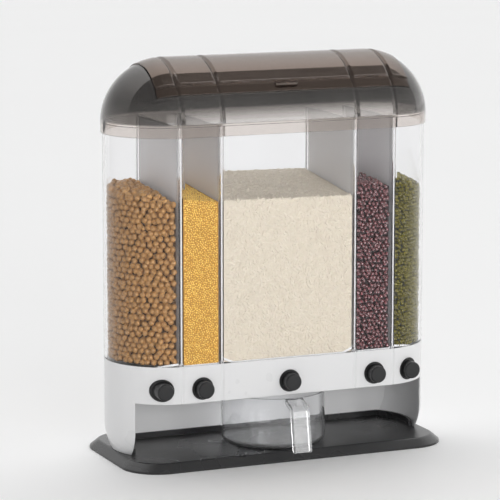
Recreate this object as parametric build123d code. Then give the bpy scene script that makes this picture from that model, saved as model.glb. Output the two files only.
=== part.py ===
from build123d import *
import math
import os

# Plan of the body, which is a slot outline, and of the tray under it (millimetres)
body_width = 342.0
body_depth = 123.0
tray_side_overhang = 2.0
tray_front_overhang = 20.0
tray_corner_radius = 38.0

# Heights above the table, and of what stands over it
tray_floor = 9.0
lintel_bottom = 64.0
button_headroom = 23.3
tank_show = 226.5

# Tray
tray_edge = 2.0
tray_border = 8.5
tray_border_round = 4.0
tray_plate = 2.5
tray_rim_width = 14.0
tray_rib = 4.0
tray_rib_pitch = 68.0
upstand_height = 5.5
upstand_wall = 2.5
upstand_front = -25.0

# Base housing
housing_wall = 2.5
tuck_start = 36.0
tuck_core = 4.5
niche_side = 14.0
chamber_depth = 23.5
deck = 2.2
lap_height = 6.0
lap_wall = 1.5
lap_clearance = 0.1
base_groove_width = 4.0
base_groove_depth = 0.9

# Tank and dividers
tank_wall = 2.8
groove_width = 6.0
groove_depth = 2.0
end_bay = 55.6
inner_bay = 42.8
divider_thickness = 2.4
divider_drop = 13.5
channel_rib = 1.2
channel_depth = 6.0
channel_seat = 2.0
divider_clearance = 0.1

# Lid, flap and hinge, whose round top turns about one axis along X
lid_overlap = 10.0
lid_gap = 0.2
lid_wall = 1.7
lid_groove_depth = 1.2
lid_axis_rise = 9.6
lid_step = 2.0
seat_drop = 1.5
seat_thickness = 2.6
seat_width = 9.0
flap_gap = 0.3
flap_thickness = 2.2
flap_groove_depth = 1.6
flap_corner = 8.0
flap_end_inset = 35.0
flap_side_gap = 0.6
flap_front_angle = 30.0
flap_lip_angle = 40.5
flap_lip_spread = 0.9
flap_lip = 0.9
flap_step = 0.6
flap_back_angle = 136.0
flap_gap_angle = 1.2
saddle_wall = 2.5
tab_width = 25.0
tab_depth = 4.5
tab_thickness = 2.2
tab_angle = 37.0
hinge_angle = 140.5
hinge_clearance = 0.5
hinge_barrel_radius = 3.0
hinge_pin_radius = 1.5
hinge_fit = 0.05
hinge_inset = 56.0
hinge_flap_length = 24.0
hinge_lid_length = 8.0
hinge_side_gap = 0.4

# Push buttons, their guide sleeves, gates and springs
end_button_inset = 36.0
button_clearance = 0.2
button_radius = 8.6
button_out = 11.0
button_round = 1.6
button_travel = 10.0
button_flange = 2.0
button_flange_reach = 1.0
button_stop_gap = 0.2
stem_radius = 4.0
stem_length = 10.0
sleeve_wall = 2.5
sleeve_proud = 0.8
sleeve_fit = 0.1
sleeve_lip_reach = 0.6
sleeve_lip = 2.0
sleeve_tail = 3.0
gate_thickness = 2.0
gate_clearance = 0.2
gate_overlap = 2.0
gate_lug_width = 16.0
gate_lug_thickness = 2.0
gate_lug_wall = 2.0
spring_room = 20.0
spring_radius = 5.0
spring_wire = 0.6
wire_sides = 6
spring_turns = 4

# Funnels under the five bays
funnel_wall = 2.0
funnel_slope = 24.0
funnel_rim_rise = 1.0
funnel_clearance = 0.3
outlet_length = 9.0
outlet_width = 26.0
middle_outlet_width = 60.0
duct_wall = 1.6
channel_wall = 1.8
channel_flange = 2.0
channel_reach = 8.0
column_radius = 4.0
column_gap = 2.0
column_inset = 4.0

# Screws
screw_radius = 1.4
screw_fit = 0.05
screw_head_radius = 2.8
screw_head = 1.8
screw_length = 9.0
screw_end_gap = 1.0
tray_screw_inner = 45.0
tray_screw_inset = 59.0
boss_root = 0.5
boss_radius = 4.0
boss_height = 16.0
tray_boss_radius = 5.5
tray_boss_recess = 4.0

# Measuring cup
cup_radius = 53.0
cup_headroom = 2.0
cup_wall = 2.0
cup_floor = 2.5
cup_edge_round = 7.0
cup_back_gap = 4.5
handle_width = 19.0
handle_plate = 2.0
handle_flange = 4.5
handle_flange_wall = 1.6
handle_reach = 17.0
handle_drop = 5.5
handle_splay = 7.0
handle_bend = 8.0
handle_foot = 2.5

# How far a cutter runs past what it cuts, and how much a V cutter widens past the surface
margin = 1.0
bar_spread = 1.5
ring_spread = 2.0

# Places that follow from the sizes above
end_radius = body_depth / 2
end_centre = body_width / 2 - end_radius
body_front = -body_depth / 2
tray_width = body_width + 2 * tray_side_overhang
tray_depth = body_depth + 2 * tray_front_overhang
tuck_radius = end_radius - tuck_core
niche_half_width = body_width / 2 - niche_side
niche_back = end_radius - chamber_depth
deck_top = lintel_bottom + deck
gate_bottom = deck_top + gate_clearance
gate_top = gate_bottom + gate_thickness
duct_bottom = gate_top + 1.5 * gate_clearance
button_flange_radius = button_radius + button_flange_reach
sleeve_radius = button_radius + sleeve_fit + sleeve_wall
sleeve_lip_radius = sleeve_radius + sleeve_lip_reach
button_height = gate_top + button_flange_radius + button_clearance
tank_bottom = button_height + button_headroom
funnel_rim = tank_bottom + funnel_rim_rise
lid_edge = tank_bottom + tank_show
tank_rim = lid_edge + lid_overlap
lid_axis = lid_edge + lid_axis_rise
dome_radius = end_radius + lid_gap + lid_wall
seat_radius = dome_radius - seat_drop
flap_inner = seat_radius + flap_gap
flap_outer = flap_inner + flap_thickness
flap_half_length = body_width / 2 - flap_end_inset
hinge_radius = dome_radius + hinge_barrel_radius + hinge_clearance
hinge_station = flap_half_length - hinge_inset
outer_divider = body_width / 2 - end_bay
inner_divider = outer_divider - inner_bay
dividers = (-outer_divider, -inner_divider, inner_divider, outer_divider)
middle_button = 0.0
inner_button = (inner_divider + outer_divider) / 2
outer_button = body_width / 2 - end_button_inset
buttons = (-outer_button, -inner_button, middle_button, inner_button, outer_button)
tray_screw_outer = body_width / 2 - tray_screw_inset
cup_height = lintel_bottom - tray_floor - cup_headroom
cup_middle = niche_back - cup_back_gap - cup_radius
far = 2 * (body_width + tank_rim)


def stadium(offset=0.0):
    """Plan outline of the body, grown or shrunk by an offset."""
    return SlotOverall(body_width + 2 * offset, body_depth + 2 * offset)


def prism(outline, bottom, top):
    """An upright prism of an outline between two heights."""
    return extrude(Pos(0, 0, bottom) * outline, amount=top - bottom)


def block(x_range, y_range, z_range):
    """A box between three pairs of limits."""
    ranges = (x_range, y_range, z_range)
    sizes = [high - low for low, high in ranges]
    middle = [(high + low) / 2 for low, high in ranges]
    return Pos(*middle) * Box(*sizes)


def rod_y(x, z, y_range, radius):
    """A round bar along Y."""
    length = y_range[1] - y_range[0]
    bar = Cylinder(radius, length, align=(Align.CENTER, Align.CENTER, Align.MIN))
    return Pos(x, y_range[0], z) * Rot(-90, 0, 0) * bar


def rod_x(y, z, x_range, radius):
    """A round bar along X."""
    length = x_range[1] - x_range[0]
    bar = Cylinder(radius, length, align=(Align.CENTER, Align.CENTER, Align.MIN))
    return Pos(x_range[0], y, z) * Rot(0, 90, 0) * bar


def post(x, y, z_range, radius):
    """A round bar along Z."""
    length = z_range[1] - z_range[0]
    bar = Cylinder(radius, length, align=(Align.CENTER, Align.CENTER, Align.MIN))
    return Pos(x, y, z_range[0]) * bar


def front_y(x, offset=0.0):
    """Y of the front of the plan outline, grown by an offset, at a place along X."""
    past = max(abs(x) - end_centre, 0.0)
    return -math.sqrt((end_radius + offset) ** 2 - past ** 2)


def tuck_at(height, inset):
    """How far the housing's form, drawn in by an inset, has turned inwards at a height."""
    radius = tuck_radius - inset
    drop = max(tuck_start - height, 0.0)
    return radius - math.sqrt(radius ** 2 - drop ** 2)


def groove_bar(x, surface, z_range, width, depth):
    """An upright V cutter at the front, whose point lies one depth behind the surface."""
    half = bar_spread * width / 2
    mouth = surface - (bar_spread - 1) * depth
    corners = [(x - half, mouth), (x + half, mouth), (x, surface + depth)]
    return prism(make_face(Polyline(*corners, close=True)), *z_range)


def sector(radii, angles, half_length, x=0.0):
    """Part of a tube round the lid's axis; angles rise from the front over the top to the back."""
    inner, outer = radii
    section = Pos(0, -(inner + outer) / 2, 0) * Rectangle(2 * half_length, outer - inner)
    turned = revolve(section, axis=Axis((0, 0, 0), (-1, 0, 0)), revolution_arc=angles[1] - angles[0])
    return Pos(x, 0, lid_axis) * Rot(-angles[0], 0, 0) * turned


def groove_ring(x, offset, angles, depth):
    """A V cutter that runs round the lid's axis in the surface of a ball-ended bar."""
    half = ring_spread * groove_width / 2
    surface = front_y(x, offset)
    mouth = surface - (ring_spread - 1) * depth
    corners = [(x - half, mouth), (x + half, mouth), (x, surface + depth)]
    section = make_face(Polyline(*corners, close=True))
    turned = revolve(section, axis=Axis((0, 0, 0), (-1, 0, 0)), revolution_arc=angles[1] - angles[0])
    return Pos(0, 0, lid_axis) * Rot(-angles[0], 0, 0) * turned


def on_arc(radius, angle):
    """Y and Z, from the lid's axis, of a point at an angle that rises from the front."""
    return (-radius * math.cos(math.radians(angle)), radius * math.sin(math.radians(angle)))


def capsule(offset):
    """A bar along the lid's axis with ball ends, as wide as the grown plan outline."""
    reach = body_depth / 2 + offset
    half = stadium(offset) & (Pos(0, reach / 2) * Rectangle(far, reach))
    return Pos(0, 0, lid_axis) * revolve(half, axis=Axis.X, revolution_arc=360)


def round_panel(offsets, angles, grow):
    """Part of a ball-ended shell round the lid's axis, cut to the flap's outline grown by a gap."""
    half = flap_half_length + grow
    front = on_arc(flap_outer, flap_front_angle)[0] - grow - margin
    back = on_arc(flap_outer, flap_back_angle)[0] + grow + margin
    plan = Pos(0, (front + back) / 2) * RectangleRounded(2 * half, back - front, flap_corner + grow)
    shell = capsule(offsets[1]) - capsule(offsets[0])
    return shell & sector((margin, far), angles, half + margin) & prism(plan, lid_axis, far)


def tray_screw_places():
    """The four places where screws join the tray to the housing, behind the niche."""
    y = niche_back + housing_wall + boss_radius - boss_root
    return [(x, y) for x in (-tray_screw_outer, -tray_screw_inner, tray_screw_inner, tray_screw_outer)]


def make_tray():
    """The low tray: a floor with a falling border, ribs under it and an upstand in the niche."""
    outline = RectangleRounded(tray_width, tray_depth, tray_corner_radius)
    rise = tray_floor - tray_edge
    slope = math.degrees(math.atan2(tray_border, rise))
    top = extrude(Pos(0, 0, tray_edge) * outline, amount=rise, taper=slope)
    top = fillet(top.edges().group_by(Axis.Z)[-1], radius=tray_border_round)
    tray = prism(outline, 0, tray_edge) + top
    pocket_width = tray_width - 2 * tray_rim_width
    pocket_depth = tray_depth - 2 * tray_rim_width
    pocket_corner = tray_corner_radius - tray_rim_width
    pocket = prism(RectangleRounded(pocket_width, pocket_depth, pocket_corner), 0, tray_floor - tray_plate)
    ribs = [block((-far, far), (-tray_rib / 2, tray_rib / 2), (0, tray_floor))]
    for place in range(-2, 3):
        middle = place * tray_rib_pitch
        ribs.append(block((middle - tray_rib / 2, middle + tray_rib / 2), (-far, far), (0, tray_floor)))
    for x, y in tray_screw_places():
        ribs.append(post(x, y, (0, tray_floor), tray_boss_radius))
    tray = tray - (pocket - ribs)

    seat = -housing_wall - tuck_at(tray_floor, housing_wall) - funnel_clearance
    back = niche_back - funnel_clearance
    heights = (tray_floor - tray_plate / 2, tray_floor + upstand_height)
    ring = prism(stadium(seat) - stadium(seat - upstand_wall), *heights)
    ring = ring & block((-far, far), (upstand_front, back), (0, far))
    strip = block((-far, far), (back - upstand_wall, back), heights) & prism(stadium(seat), *heights)
    tray = tray + ring + strip
    for x, y in tray_screw_places():
        tray = tray - post(x, y, (0, tray_floor + margin), screw_radius + screw_fit)
        tray = tray - post(x, y, (0, tray_boss_recess), screw_head_radius + 2 * screw_fit)
    return tray


def housing_body(inset):
    """The housing's outer form drawn in by an inset, with its rounded tuck, down to the tray."""
    low = tuck_start - tuck_radius + inset
    body = prism(stadium(-inset), low, tank_bottom)
    body = fillet(body.edges().group_by(Axis.Z)[0], radius=tuck_radius - inset)
    return body & block((-far, far), (-far, far), (tray_floor, tank_bottom))


def make_housing():
    """The white base: a thin shell with a niche for the cup, a deck and a lapped upper edge."""
    shell = housing_body(0) - housing_body(housing_wall)
    niche = block((-niche_half_width, niche_half_width), (-far, 0), (0, lintel_bottom))
    shell = shell - niche
    core = housing_body(housing_wall / 2)
    wall_span = (niche_back, niche_back + housing_wall)
    back = block((-far, far), wall_span, (tray_floor, deck_top)) & core
    floor = block((-far, far), (-far, far), (lintel_bottom, deck_top)) & core
    boss_z = (tray_floor, tray_floor + boss_height)
    bosses = [post(x, y, boss_z, boss_radius) for x, y in tray_screw_places()]
    housing = shell + back + floor + bosses
    housing = housing - prism(stadium(-lap_wall), tank_bottom - lap_height, tank_bottom + margin)
    for x in dividers:
        heights = (lintel_bottom - margin, tank_bottom + margin)
        housing = housing - groove_bar(x, front_y(x), heights, base_groove_width, base_groove_depth)
    for x in buttons:
        spot = channel(x)
        half = spot["width"] / 2
        opening = ((x - half, x + half), spot["outlet"], (lintel_bottom - margin, deck_top + margin))
        bore = rod_y(x, button_height, (body_front - margin, spot["rear"]), sleeve_radius + sleeve_fit)
        housing = housing - block(*opening) - bore
        for column_x, column_y in column_places(x):
            housing = housing - post(column_x, column_y, (0, far), screw_radius + screw_fit)
    for x, y in tray_screw_places():
        housing = housing - post(x, y, (0, tray_floor + screw_length), screw_radius + screw_fit)
    return housing


def channel(x):
    """Where the pieces of one button's channel lie along Y, from its sleeve back to its outlet."""
    rear = front_y(abs(x) + sleeve_lip_radius, -housing_wall) + sleeve_lip + sleeve_tail
    flange = rear + button_stop_gap
    lug = flange + button_flange
    spring = lug + gate_lug_thickness
    duct = spring + spring_room
    outlet = duct + duct_wall
    width = middle_outlet_width if x == middle_button else outlet_width
    rim_reach = outlet - front_y(x, -tank_wall - funnel_clearance)
    return {
        "front": front_y(x),
        "rear": rear,
        "flange": flange,
        "lug": lug,
        "spring": spring,
        "duct": duct,
        "outlet": (outlet, outlet + outlet_length),
        "width": width,
        "throat": funnel_rim - rim_reach * math.tan(math.radians(funnel_slope)),
    }


def column_places(x):
    """The two columns that stand a funnel on the deck behind its gate."""
    spot = channel(x)
    reach = spot["width"] / 2 - column_inset
    y = spot["outlet"][1] + gate_overlap + button_travel + column_gap + column_radius
    return [(x - reach, y), (x + reach, y)]


def channel_ribs(x, clearance):
    """The pair of ribs, front and back, that hold one divider's edges, grown by a clearance."""
    half = divider_thickness / 2 + divider_clearance + channel_rib + clearance
    inside = -front_y(x, -tank_wall) - channel_depth - clearance
    outside = -front_y(x, -tank_wall / 2)
    heights = (tank_bottom - clearance, tank_rim)
    return [
        block((x - half, x + half), (-outside, -inside), heights),
        block((x - half, x + half), (inside, outside), heights),
    ]


def make_tank():
    """The clear tank: a slot-shaped wall with V grooves outside and divider channels inside."""
    tank = prism(stadium(), tank_bottom, tank_rim)
    tank = tank - prism(stadium(-tank_wall), tank_bottom - margin, tank_rim + margin)
    spigot = stadium(-lap_wall - lap_clearance) - stadium(-tank_wall)
    tank = tank + prism(spigot, tank_bottom - lap_height, tank_bottom)
    slot_half = divider_thickness / 2 + divider_clearance
    for x in dividers:
        tank = tank + channel_ribs(x, 0)
        inside = -front_y(x, -tank_wall)
        slot_z = (tank_bottom + channel_seat, tank_rim + margin)
        tank = tank - block((x - slot_half, x + slot_half), (-inside, inside), slot_z)
        groove_z = (tank_bottom - margin, tank_rim + margin)
        tank = tank - groove_bar(x, front_y(x), groove_z, groove_width, groove_depth)
    return tank


def make_divider(x):
    """A grey panel that slides down its channels and rests on their seats."""
    half = divider_thickness / 2
    reach = -front_y(x, -tank_wall) - divider_clearance
    waist = reach - channel_depth - divider_clearance
    seat = tank_bottom + channel_seat
    panel = block((x - half, x + half), (-reach, reach), (seat, tank_rim - divider_clearance))
    return panel + block((x - half, x + half), (-waist, waist), (tank_bottom - divider_drop, seat))


def bay_limits(x):
    """The X range of the bay over one button, clear of its dividers."""
    clear = divider_thickness / 2 + funnel_clearance
    edges = [-far, *dividers, far]
    low = max(edge for edge in edges if edge < x)
    high = min(edge for edge in edges if edge > x)
    return (low + clear, high - clear)


def make_funnel(x):
    """A funnel that fills the foot of one bay and stands on the deck astride its gate."""
    spot = channel(x)
    width = spot["width"]
    middle = sum(spot["outlet"]) / 2
    slope = math.tan(math.radians(funnel_slope))
    drop = funnel_wall / math.cos(math.radians(funnel_slope))
    spread = body_depth
    rise = spread * slope
    duct_top = spot["throat"] - drop + duct_wall * slope

    def rectangle(grow, z):
        return Pos(x, middle, z) * Rectangle(width + 2 * grow, outlet_length + 2 * grow)

    inside = extrude(rectangle(0, spot["throat"]), amount=rise, taper=funnel_slope - 90)
    outside = extrude(rectangle(duct_wall, duct_top), amount=rise, taper=funnel_slope - 90)
    bay = prism(stadium(-tank_wall - funnel_clearance), 0, tank_rim)
    bay = bay & block(bay_limits(x), (-far, far), (0, tank_rim))
    funnel = (outside & bay) - inside
    flange_half = width / 2 + gate_overlap + funnel_clearance + channel_wall
    flange_y = (spot["outlet"][0] - channel_reach, spot["outlet"][1] + channel_reach)
    flange_z = (duct_bottom, duct_bottom + channel_flange)
    foot_z = (deck_top, duct_bottom)
    funnel = funnel + prism(rectangle(duct_wall, 0), duct_bottom, spot["throat"])
    funnel = funnel + block((x - flange_half, x + flange_half), flange_y, flange_z)
    for side in (-1, 1):
        near = x + side * (flange_half - channel_wall)
        away = x + side * flange_half
        funnel = funnel + block((min(near, away), max(near, away)), flange_y, foot_z)
    for column_x, column_y in column_places(x):
        column = post(column_x, column_y, (deck_top, spot["throat"] + rise), column_radius)
        funnel = funnel + (column - inside)
    funnel = funnel - prism(rectangle(0, 0), duct_bottom - margin, spot["throat"] + margin)
    for column_x, column_y in column_places(x):
        bore_z = (0, lintel_bottom + screw_length)
        funnel = funnel - post(column_x, column_y, bore_z, screw_radius + screw_fit)
    for divider in dividers:
        funnel = funnel - channel_ribs(divider, funnel_clearance)
    return funnel & block(bay_limits(x), (-far, far), (0, tank_rim))


def make_sleeve(x):
    """The black guide sleeve of one button, cut to the housing's curve and held by an inner lip."""
    spot = channel(x)
    heights = (0, tank_bottom)
    long = (body_front - button_out, spot["rear"])
    barrel = rod_y(x, button_height, long, sleeve_radius) & prism(stadium(sleeve_proud), *heights)
    lip = rod_y(x, button_height, (body_front, spot["rear"] - sleeve_tail), sleeve_lip_radius)
    lip = lip & prism(stadium(-housing_wall - sleeve_fit), *heights)
    bore_y = (long[0] - margin, long[1] + margin)
    return barrel + lip - rod_y(x, button_height, bore_y, button_radius + sleeve_fit)


def make_button(x):
    """A push button: a round cap, a stop flange behind the sleeve and a stem for the gate."""
    spot = channel(x)
    face = spot["front"] - button_out
    cap = rod_y(x, button_height, (face, spot["flange"]), button_radius)
    cap = fillet(cap.edges().group_by(Axis.Y)[0], radius=button_round)
    flange = rod_y(x, button_height, (spot["flange"], spot["lug"]), button_flange_radius)
    return cap + flange + rod_y(x, button_height, (spot["lug"], spot["lug"] + stem_length), stem_radius)


def make_gate(x):
    """A sliding gate: a plate with a window, and a lug that the button's stem passes through."""
    spot = channel(x)
    half = spot["width"] / 2
    start, end = spot["outlet"]
    plate_y = (spot["lug"], end + gate_overlap)
    plate = block((x - half - gate_overlap, x + half + gate_overlap), plate_y, (gate_bottom, gate_top))
    window_y = (start - button_travel, end - button_travel)
    plate = plate - block((x - half, x + half), window_y, (gate_bottom - margin, gate_top + margin))
    lug_y = (spot["lug"], spot["lug"] + gate_lug_thickness)
    lug_z = (gate_bottom, button_height + stem_radius + gate_lug_wall)
    lug = block((x - gate_lug_width / 2, x + gate_lug_width / 2), lug_y, lug_z)
    bore_y = (lug_y[0] - margin, lug_y[1] + margin)
    return plate + lug - rod_y(x, button_height, bore_y, stem_radius + sleeve_fit)


def spring_points(length, steps):
    """Points and directions along a spring's wire, wound about Y, with half turns between them."""
    run = length - 2 * spring_wire
    points = []
    for step in range(steps + 1):
        turn = 2 * math.pi * spring_turns * step / steps
        place = (
            spring_radius * math.cos(turn),
            spring_wire + run * step / steps,
            spring_radius * math.sin(turn),
        )
        pitch = run / (2 * math.pi * spring_turns)
        way = Vector(-spring_radius * math.sin(turn), pitch, spring_radius * math.cos(turn))
        points.append((Vector(*place), way.normalized()))
    return points


def two_arcs(start, start_way, end, end_way):
    """Two tangent arcs from one point and direction to another."""
    gap = end - start
    both = start_way + end_way
    bend = 2 * (1 - start_way.dot(end_way))
    size = (-gap.dot(both) + math.sqrt(gap.dot(both) ** 2 + bend * gap.dot(gap))) / bend
    joint = (start + end + (start_way - end_way) * size) * 0.5
    joint_way = (end - end_way * size) - (start + start_way * size)
    first = Edge.make_tangent_arc(start, start_way, joint)
    second = Edge.make_tangent_arc(joint, joint_way.normalized(), end)
    return [first, second]


def make_spring(x):
    """A return spring of round wire between a gate's lug and the duct behind it."""
    spot = channel(x)
    marks = spring_points(spring_room, 4 * spring_turns)
    edges = []
    for (start, start_way), (end, end_way) in zip(marks, marks[1:]):
        edges += two_arcs(start, start_way, end, end_way)
    path = Wire(edges)
    section = Plane(origin=marks[0][0], z_dir=marks[0][1]) * RegularPolygon(spring_wire, wire_sides)
    return Pos(x, spot["spring"], button_height) * sweep(section, path=path)


def spring_gap():
    """The least clear distance between neighbouring turns of a return spring."""
    steps = 48 * spring_turns
    points = [place for place, _ in spring_points(spring_room, steps)]
    turn = steps // spring_turns
    least = min(
        (points[a] - points[b]).length
        for a in range(len(points))
        for b in range(a + turn // 2, len(points))
    )
    return least - 2 * spring_wire


def hinge_spans():
    """X ranges of the flap's barrels and of the lid's knuckles beside them."""
    barrels = []
    knuckles = []
    for middle in (-hinge_station, hinge_station):
        low = middle - hinge_flap_length / 2
        high = middle + hinge_flap_length / 2
        barrels.append((low, high))
        knuckles.append((low - hinge_side_gap - hinge_lid_length, low - hinge_side_gap))
        knuckles.append((high + hinge_side_gap, high + hinge_side_gap + hinge_lid_length))
    return barrels, knuckles


def make_lid():
    """The smoked lid: a skirt over the tank's rim, a round top and a seated mouth under the flap."""
    inner = lid_gap
    outer = lid_gap + lid_wall
    upper = block((-far, far), (-far, far), (lid_axis, far))
    dome = (capsule(outer) & upper) - capsule(inner)
    skirt = prism(stadium(outer) - stadium(inner), lid_edge, lid_axis)
    step = prism(stadium(inner + lid_wall / 2) - stadium(-tank_wall / 2), tank_rim, tank_rim + lid_step)
    seat = seat_radius - end_radius
    front = flap_front_angle - flap_gap_angle
    back = flap_back_angle + flap_gap_angle
    edge = math.degrees(saddle_wall / seat_radius)
    saddle_offsets = (seat - seat_thickness, outer - lid_wall / 2)
    saddle = round_panel(saddle_offsets, (front - edge, back + edge), flap_side_gap + saddle_wall)
    lid = dome + skirt + step + saddle
    lid = lid - round_panel((seat, outer + margin), (front, back), flap_side_gap)
    mouth = math.degrees(seat_width / seat_radius)
    mouth_angles = (flap_front_angle + mouth, flap_back_angle - mouth)
    lid = lid - sector((margin, far), mouth_angles, flap_half_length - seat_width)
    for x in dividers:
        skirt_z = (lid_edge - margin, lid_axis)
        lid = lid - groove_ring(x, outer, (0, flap_front_angle), lid_groove_depth)
        lid = lid - groove_bar(x, front_y(x, outer), skirt_z, groove_width, lid_groove_depth)

    pin_y, pin_z = on_arc(hinge_radius, hinge_angle)
    for low, high in hinge_spans()[1]:
        root = (hinge_angle, hinge_angle + math.degrees(2 * hinge_barrel_radius / hinge_radius))
        web = sector((dome_radius - lid_wall / 2, hinge_radius), root, (high - low) / 2, (high + low) / 2)
        lid = lid + web + rod_x(pin_y, lid_axis + pin_z, (low, high), hinge_barrel_radius)
    for low, high in hinge_spans()[1]:
        bore_range = (low - hinge_side_gap, high + hinge_side_gap)
        lid = lid - rod_x(pin_y, lid_axis + pin_z, bore_range, hinge_pin_radius)
    return lid


def make_flap():
    """The smoked flap over the mouth: a ball-ended panel with a front lip, a finger tab and barrels."""
    inner = flap_inner - end_radius
    outer = flap_outer - end_radius
    lip_angles = (flap_lip_angle - flap_lip_spread, flap_lip_angle + flap_lip_spread)
    flap = round_panel((inner, outer), (flap_lip_angle, flap_back_angle), 0)
    flap = flap + round_panel((inner, outer - flap_step), (flap_front_angle, flap_lip_angle), 0)
    flap = flap + round_panel((inner, outer + flap_lip), lip_angles, 0)
    for x in dividers:
        flap = flap - groove_ring(x, outer, (0, 180), flap_groove_depth)

    tab_y, tab_z = on_arc(flap_outer - flap_step, tab_angle)
    tab = prism(SlotOverall(tab_width, 2 * tab_depth), -tab_thickness / 2, tab_thickness / 2)
    flap = flap + (Pos(0, tab_y, lid_axis + tab_z) * tab - capsule(inner))

    pin_y, pin_z = on_arc(hinge_radius, hinge_angle)
    for low, high in hinge_spans()[0]:
        reach = (flap_back_angle - math.degrees(hinge_barrel_radius / hinge_radius), hinge_angle)
        radii = (flap_outer - flap_gap, flap_outer + hinge_barrel_radius)
        web = sector(radii, reach, (high - low) / 2, (high + low) / 2)
        flap = flap + web + rod_x(pin_y, lid_axis + pin_z, (low, high), hinge_barrel_radius)
    for low, high in hinge_spans()[0]:
        bore_range = (low - hinge_side_gap, high + hinge_side_gap)
        flap = flap - rod_x(pin_y, lid_axis + pin_z, bore_range, hinge_pin_radius + hinge_fit)
    return flap


def make_hinge_pins():
    """The two steel pins of the flap's hinge, one at each station."""
    pin_y, pin_z = on_arc(hinge_radius, hinge_angle)
    reach = hinge_flap_length / 2 + hinge_side_gap + hinge_lid_length
    pins = []
    for middle in (-hinge_station, hinge_station):
        pins.append(rod_x(pin_y, lid_axis + pin_z, (middle - reach, middle + reach), hinge_pin_radius))
    return Compound(children=pins)


def make_screws(places, head_bottom):
    """A set of like screws with round heads, driven upwards."""
    screws = []
    for x, y in places:
        head = post(x, y, (head_bottom, head_bottom + screw_head), screw_head_radius)
        head = chamfer(head.edges().group_by(Axis.Z)[0], length=screw_head / 2)
        shank = (head_bottom + screw_head, head_bottom + screw_head + screw_length - screw_end_gap)
        screws.append(head + post(x, y, shank, screw_radius))
    return Compound(children=screws)


def make_cup():
    """The clear measuring cup with its hanging strap handle, stiffened by edge flanges."""
    base = (Align.CENTER, Align.CENTER, Align.MIN)
    outside = Pos(0, cup_middle, tray_floor) * Cylinder(cup_radius, cup_height, align=base)
    outside = fillet(outside.edges().group_by(Axis.Z)[0], radius=cup_edge_round)
    hollow = Cylinder(cup_radius - cup_wall, cup_height, align=base)
    hollow = Pos(0, cup_middle, tray_floor + cup_floor) * hollow
    hollow = fillet(hollow.edges().group_by(Axis.Z)[0], radius=cup_edge_round - cup_wall)
    wall_y = cup_middle - cup_radius + cup_wall / 2
    rim = tray_floor + cup_height
    foot = tray_floor + handle_foot

    def strap(depth):
        outer = FilletPolyline(
            (wall_y, rim),
            (wall_y - handle_reach, rim - handle_drop),
            (wall_y - handle_reach - handle_splay, foot),
            radius=handle_bend,
        )
        inner = FilletPolyline(
            (wall_y, rim - depth),
            (wall_y - handle_reach + depth, rim - handle_drop - depth),
            (wall_y - handle_reach - handle_splay + depth, foot),
            radius=handle_bend - depth,
        )
        ends = [Line(outer @ 0, inner @ 0), Line(outer @ 1, inner @ 1)]
        return Plane.YZ * make_face([*outer.edges(), *inner.edges(), *ends])

    handle = extrude(strap(handle_plate), amount=handle_width / 2, both=True)
    for side in (-1, 1):
        flange = extrude(strap(handle_flange), amount=handle_flange_wall / 2, both=True)
        handle = handle + Pos(side * (handle_width - handle_flange_wall) / 2, 0, 0) * flange
    return outside + handle - hollow


def make_parts():
    """Every node of the dispenser by its name."""
    funnel_screw_places = [place for x in buttons for place in column_places(x)]
    parts = {
        "base_tray": make_tray(),
        "base_housing": make_housing(),
        "tank_shell": make_tank(),
        "lid_shell": make_lid(),
        "lid_flap": make_flap(),
        "hinge_pins": make_hinge_pins(),
        "measuring_cup": make_cup(),
        "funnel_screws": make_screws(funnel_screw_places, lintel_bottom - screw_head),
        "tray_screws": make_screws(tray_screw_places(), tray_boss_recess - screw_head),
    }
    for number, x in enumerate(dividers, 1):
        parts[f"divider_{number}"] = make_divider(x)
    for number, x in enumerate(buttons, 1):
        parts[f"funnel_{number}"] = make_funnel(x)
        parts[f"button_sleeve_{number}"] = make_sleeve(x)
        parts[f"button_{number}"] = make_button(x)
        parts[f"gate_{number}"] = make_gate(x)
        parts[f"return_spring_{number}"] = make_spring(x)
    return parts


os.makedirs("parts", exist_ok=True)
for name, shape in make_parts().items():
    export_step(shape, f"parts/{name}.step")
print("least gap between a spring's turns, mm:", round(spring_gap(), 2))
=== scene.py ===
from math import acos, cos, pi, radians, sin
from random import Random

import bpy
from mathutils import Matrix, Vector


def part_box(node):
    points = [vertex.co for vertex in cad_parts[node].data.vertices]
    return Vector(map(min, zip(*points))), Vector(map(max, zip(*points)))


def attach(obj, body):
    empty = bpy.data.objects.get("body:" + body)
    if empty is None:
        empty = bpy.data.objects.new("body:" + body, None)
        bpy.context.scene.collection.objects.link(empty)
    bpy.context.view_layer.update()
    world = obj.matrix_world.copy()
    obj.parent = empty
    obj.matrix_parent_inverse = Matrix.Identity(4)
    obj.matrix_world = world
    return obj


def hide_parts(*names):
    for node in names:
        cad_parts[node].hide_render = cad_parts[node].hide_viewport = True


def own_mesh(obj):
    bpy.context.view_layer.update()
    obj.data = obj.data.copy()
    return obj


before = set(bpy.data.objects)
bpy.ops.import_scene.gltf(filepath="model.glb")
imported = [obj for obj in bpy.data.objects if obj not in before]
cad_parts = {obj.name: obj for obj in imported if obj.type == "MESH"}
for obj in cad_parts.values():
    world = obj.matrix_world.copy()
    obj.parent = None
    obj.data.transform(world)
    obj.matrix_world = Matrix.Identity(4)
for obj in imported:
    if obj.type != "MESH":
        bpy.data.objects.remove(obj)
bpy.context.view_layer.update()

bpy.ops.object.select_all(action="DESELECT")


# Base tray: the low charcoal plate that the whole dispenser stands on, with a falling border.
# It is one injection moulding whose mould was etched, so the skin is satin with a very fine grain.
# The housing sits over its upstand, and four screws from below hold the two together.
def new_material(name):
    """A new node material, with its nodes, its links and its Principled shader."""
    material = bpy.data.materials.new(name)
    material.use_nodes = True
    tree = material.node_tree
    return material, tree.nodes, tree.links, tree.nodes["Principled BSDF"]


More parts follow.
